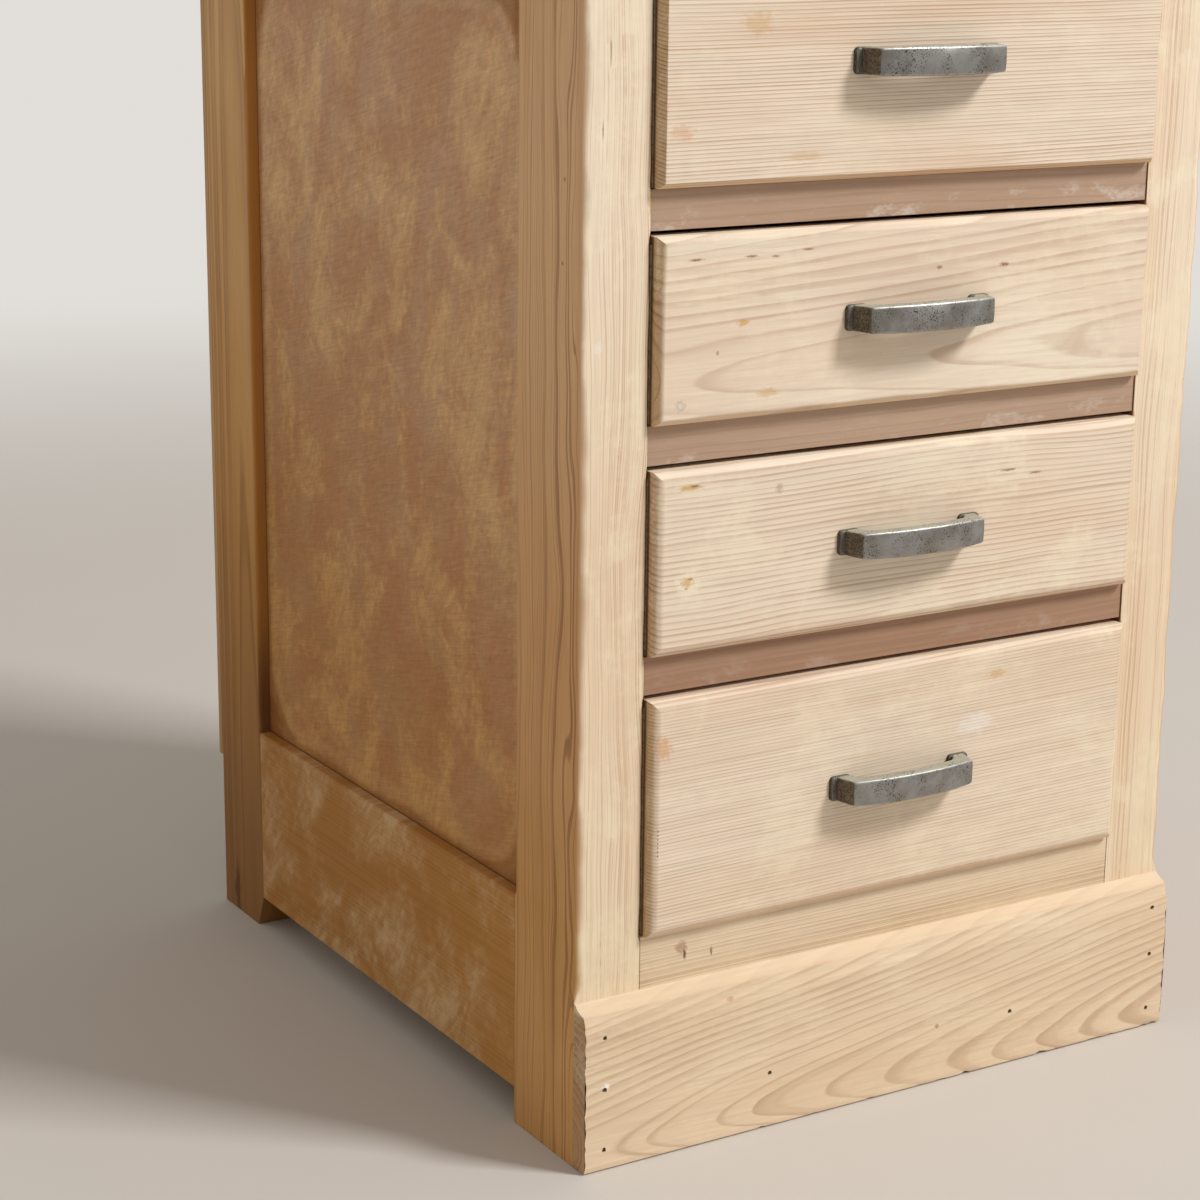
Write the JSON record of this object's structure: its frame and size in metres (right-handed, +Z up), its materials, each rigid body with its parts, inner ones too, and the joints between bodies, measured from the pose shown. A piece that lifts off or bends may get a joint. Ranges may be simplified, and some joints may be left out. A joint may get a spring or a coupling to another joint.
{
  "type": "drawer cabinet",
  "caption": "Floor-standing pine cabinet with panelled sides, a moulded plinth and a stack of inset drawers that slide out on cast bow handles.",
  "frame": {"origin": "on the floor, under the middle of the cabinet's box, handles included", "axes": "+Z up, -Y out of the front towards the user, +X to the user's right"},
  "size_m": [0.532, 0.6014, 0.8365],
  "materials": {
    "pine": "stripped and sanded",
    "grey_wood": "bare and weathered",
    "plywood": "patchily sanded",
    "inner_wood": "bare",
    "cast_metal": "worn, satin",
    "steel": "dull"
  },
  "bodies": {
    "cabinet": {"back_panel": "plywood", "drawer_guides": "inner_wood", "drawer_rail_1": "grey_wood", "drawer_rail_2": "grey_wood", "drawer_rail_3": "grey_wood", "drawer_stops": "inner_wood", "front_bottom_rail": "pine", "front_post_left": "pine", "front_post_right": "pine", "front_top_rail": "grey_wood", "plinth_board": "pine", "rear_bottom_rail": "inner_wood", "rear_post_left": "pine", "rear_post_right": "pine", "rear_top_rail": "inner_wood", "runner_1_left": "inner_wood", "runner_1_right": "inner_wood", "runner_2_left": "inner_wood", "runner_2_right": "inner_wood", "runner_3_left": "inner_wood", "runner_3_right": "inner_wood", "runner_4_left": "inner_wood", "runner_4_right": "inner_wood", "side_bottom_rail_left": "pine", "side_bottom_rail_right": "pine", "side_panel_left": "plywood", "side_panel_right": "plywood", "side_top_rail_left": "pine", "side_top_rail_right": "pine", "top_board": "pine", "top_kickers": "inner_wood", "wire_nails": "steel"},
    "drawer_1": {"drawer_1_back": "inner_wood", "drawer_1_bottom": "plywood", "drawer_1_front": "pine", "drawer_1_handle": "cast_metal", "drawer_1_handle_screws": "steel", "drawer_1_side_left": "inner_wood", "drawer_1_side_right": "inner_wood"},
    "drawer_2": {"drawer_2_back": "inner_wood", "drawer_2_bottom": "plywood", "drawer_2_front": "pine", "drawer_2_handle": "cast_metal", "drawer_2_handle_screws": "steel", "drawer_2_side_left": "inner_wood", "drawer_2_side_right": "inner_wood"},
    "drawer_3": {"drawer_3_back": "inner_wood", "drawer_3_bottom": "plywood", "drawer_3_front": "pine", "drawer_3_handle": "cast_metal", "drawer_3_handle_screws": "steel", "drawer_3_side_left": "inner_wood", "drawer_3_side_right": "inner_wood"},
    "drawer_4": {"drawer_4_back": "inner_wood", "drawer_4_bottom": "plywood", "drawer_4_front": "pine", "drawer_4_handle": "cast_metal", "drawer_4_handle_screws": "steel", "drawer_4_side_left": "inner_wood", "drawer_4_side_right": "inner_wood"}
  },
  "joints": [
    {"name": "drawer_1_slide", "type": "slide", "parent": "cabinet", "child": "drawer_1", "axis": [0, -1, 0], "range_m": [0, 0.38]},
    {"name": "drawer_2_slide", "type": "slide", "parent": "cabinet", "child": "drawer_2", "axis": [0, -1, 0], "range_m": [0, 0.38]},
    {"name": "drawer_3_slide", "type": "slide", "parent": "cabinet", "child": "drawer_3", "axis": [0, -1, 0], "range_m": [0, 0.38]},
    {"name": "drawer_4_slide", "type": "slide", "parent": "cabinet", "child": "drawer_4", "axis": [0, -1, 0], "range_m": [0, 0.38]}
  ]
}
